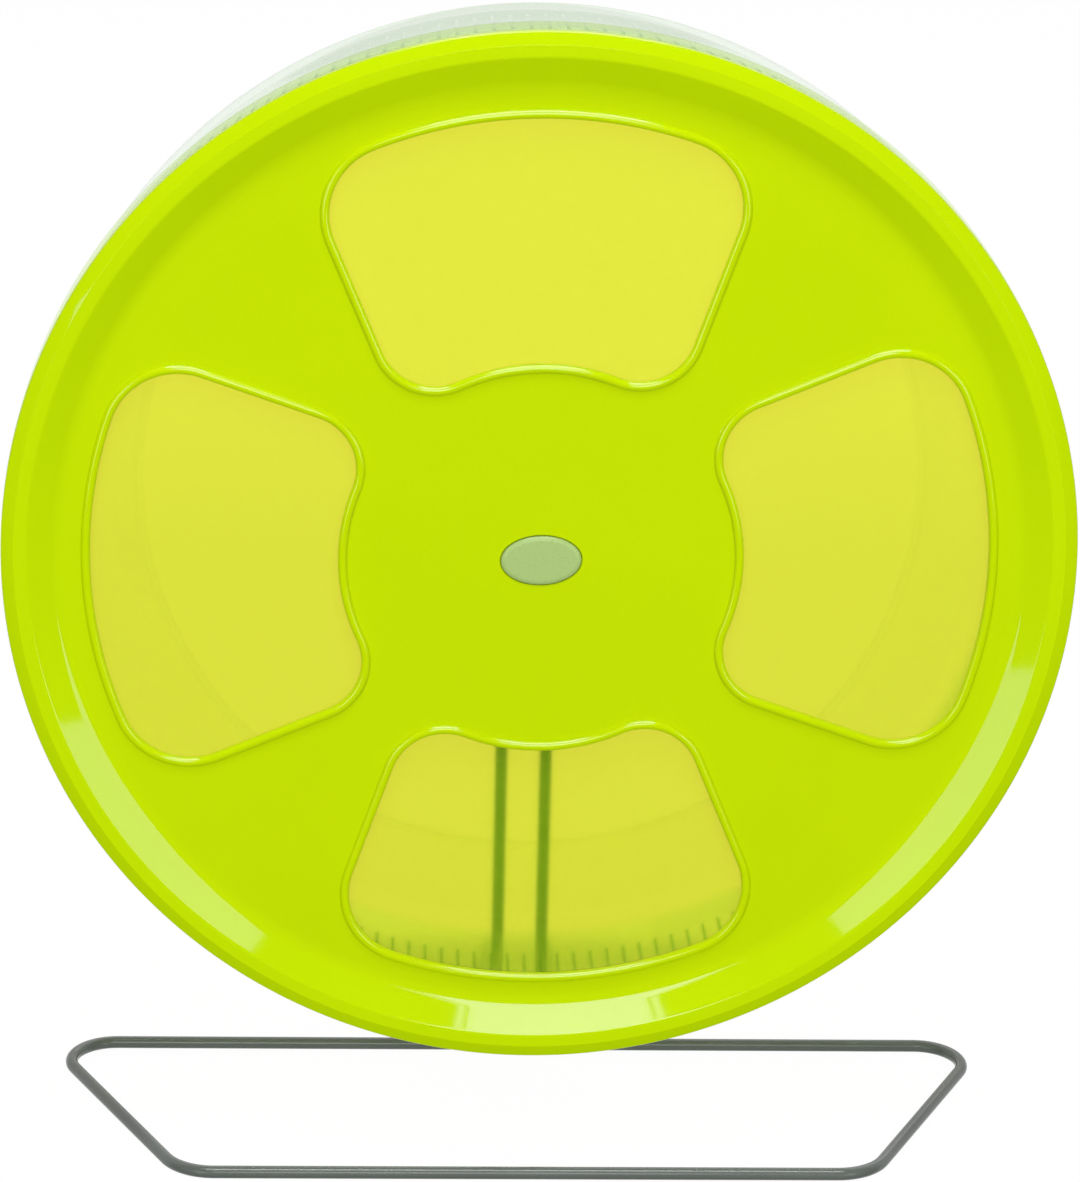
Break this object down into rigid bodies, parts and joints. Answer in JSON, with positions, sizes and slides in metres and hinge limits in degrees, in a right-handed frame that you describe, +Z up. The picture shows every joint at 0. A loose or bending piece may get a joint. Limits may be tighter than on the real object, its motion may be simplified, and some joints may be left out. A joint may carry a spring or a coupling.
{
  "type": "rodent exercise wheel",
  "caption": "Rodent exercise wheel: a dished disc with tinted windows and a clear drum turns on an axle held by a bent wire stand.",
  "frame": {"origin": "on the ground, below the middle of the whole object's box", "axes": "+Z up, -Y towards the windowed disc that the picture shows, +X to that viewer's right; the wheel turns about Y"},
  "size_m": [0.2814, 0.099, 0.3189],
  "materials": {
    "lime_plastic": "opaque lime moulding, satin gloss",
    "tinted_pane": "yellow-green tinted, faintly frosted",
    "clear_plastic": "clear moulding",
    "badge_plastic": "plain grey-green cap",
    "grey_plastic": "grey moulding",
    "bush_plastic": "natural bearing plastic",
    "zinc_steel": "zinc plated",
    "wire_grey": "glossy grey coat over steel wire"
  },
  "bodies": {
    "stand": {"stand_wire": "wire_grey", "holder_front": "grey_plastic", "holder_clamp": "grey_plastic", "holder_screw_1": "zinc_steel", "holder_screw_2": "zinc_steel", "holder_screw_3": "zinc_steel", "holder_screw_4": "zinc_steel", "axle_bolt": "zinc_steel", "front_washer": "zinc_steel", "rear_washer": "zinc_steel", "axle_spacer": "grey_plastic", "nut_washer": "zinc_steel", "axle_nut": "zinc_steel"},
    "wheel": {"front_disc": "lime_plastic", "window_pane_top": "tinted_pane", "window_pane_right": "tinted_pane", "window_pane_bottom": "tinted_pane", "window_pane_left": "tinted_pane", "drum": "clear_plastic", "hub_cap": "badge_plastic", "hub_tube": "grey_plastic", "hub_screw_1": "zinc_steel", "hub_screw_2": "zinc_steel", "hub_screw_3": "zinc_steel", "hub_screw_4": "zinc_steel", "front_bush": "bush_plastic", "rear_bush": "bush_plastic"}
  },
  "joints": [
    {"name": "wheel_spin", "type": "hinge", "parent": "stand", "child": "wheel", "pos_m": [0, -0.0095, 0.1781], "axis": [0, 1, 0], "continuous": true}
  ]
}
